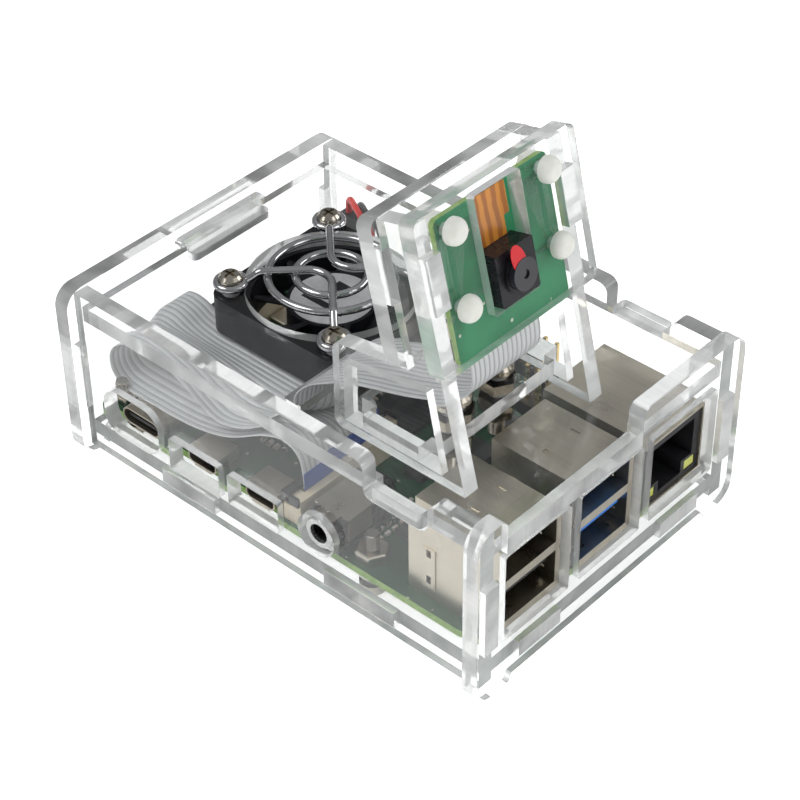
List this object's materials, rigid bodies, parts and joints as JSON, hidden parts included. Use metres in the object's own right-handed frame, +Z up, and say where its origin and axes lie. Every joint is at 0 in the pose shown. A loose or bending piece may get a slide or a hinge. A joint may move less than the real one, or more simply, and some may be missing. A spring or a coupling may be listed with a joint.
{
  "type": "single board computer",
  "caption": "Single board computer in a clear laser-cut case with a guarded cooling fan and a camera on a tilted stand, joined by a ribbon cable.",
  "frame": {"origin": "centre of the case's footprint on the surface its feet stand on", "axes": "+X towards the end with the stacked sockets, +Y away from the side with the power, video and audio connectors, +Z up"},
  "size_m": [0.0924, 0.0662, 0.0771],
  "materials": {
    "clear_sheet": "clear, polished laser-cut sheet",
    "board_green": "green solder mask, satin",
    "camera_green": "lighter green solder mask, satin",
    "socket_metal": "warm satin tin plate",
    "black_plastic": "moulded, fine grain",
    "chip_black": "moulded chip body",
    "blue_plastic": "moulded, satin",
    "cream_plastic": "moulded",
    "pin_gold": "gold plated",
    "screw_steel": "nickel plated",
    "chrome_wire": "polished chrome plate",
    "label_silver": "plain silver label",
    "ceramic_parts": "chip capacitors and resistors with tinned ends",
    "lamp_plastic": "clouded lamp lens",
    "white_nylon": "slightly translucent nylon",
    "lens_black": "black lens module",
    "flex_orange": "orange film circuit",
    "ribbon_grey": "grey-white striped flat cable",
    "ribbon_blue": "blue end stiffener",
    "wire_red": "red insulation",
    "wire_black": "black insulation"
  },
  "bodies": {
    "board_and_case": {"case_front_wall": "clear_sheet", "case_back_wall": "clear_sheet", "case_left_panel": "clear_sheet", "case_right_panel": "clear_sheet", "case_base_plate": "clear_sheet", "case_top_plate": "clear_sheet", "circuit_board": "board_green", "board_spacers": "white_nylon", "board_screws": "screw_steel", "board_nuts": "screw_steel", "header_housings": "black_plastic", "header_pins": "pin_gold", "processor": "screw_steel", "board_chips": "chip_black", "passive_parts": "ceramic_parts", "wireless_shield": "socket_metal", "card_socket": "socket_metal", "serial_stack_a_shell": "socket_metal", "serial_stack_b_shell": "socket_metal", "serial_stack_a_insert": "black_plastic", "serial_stack_b_insert": "blue_plastic", "network_jack_shell": "socket_metal", "network_jack_insert": "black_plastic", "network_jack_lamps": "lamp_plastic", "socket_contacts": "pin_gold", "power_port_shell": "socket_metal", "video_port_shells": "socket_metal", "small_port_tongues": "black_plastic", "audio_jack_body": "black_plastic", "audio_jack_cover": "socket_metal", "camera_socket": "cream_plastic", "display_socket": "cream_plastic", "fan_frame": "black_plastic", "fan_guard": "chrome_wire", "fan_screws": "screw_steel", "fan_plug": "black_plastic", "fan_lead_red": "wire_red", "fan_lead_black": "wire_black", "stand_near_leg": "clear_sheet", "stand_far_leg": "clear_sheet", "stand_base": "clear_sheet", "stand_front_plate": "clear_sheet", "stand_rear_plate": "clear_sheet", "stand_screws": "screw_steel", "stand_nuts": "screw_steel", "camera_board": "camera_green", "camera_housing": "lens_black", "camera_lens": "lens_black", "camera_flex": "flex_orange", "camera_flex_plug": "black_plastic", "camera_screws": "white_nylon", "camera_nuts": "white_nylon", "camera_back_socket": "cream_plastic", "ribbon_cable": "ribbon_grey", "ribbon_stiffener": "ribbon_blue"},
    "fan_wheel": {"fan_rotor": "black_plastic", "fan_label": "label_silver"},
    "camera_latch": {"camera_socket_latch": "black_plastic"},
    "display_latch": {"display_socket_latch": "black_plastic"},
    "back_latch": {"camera_back_latch": "black_plastic"}
  },
  "joints": [
    {"name": "fan_spin", "type": "hinge", "parent": "board_and_case", "child": "fan_wheel", "pos_m": [-0.0168, 0.0026, 0.0245], "axis": [0, 0, 1], "continuous": true},
    {"name": "camera_latch_lift", "type": "slide", "parent": "board_and_case", "child": "camera_latch", "axis": [0, 0, 1], "range_m": [0, 0.0009]},
    {"name": "display_latch_lift", "type": "slide", "parent": "board_and_case", "child": "display_latch", "axis": [0, 0, 1], "range_m": [0, 0.0009]},
    {"name": "back_latch_pull", "type": "slide", "parent": "board_and_case", "child": "back_latch", "axis": [0.2377, 0, -0.9713], "range_m": [0, 0.0009]}
  ]
}
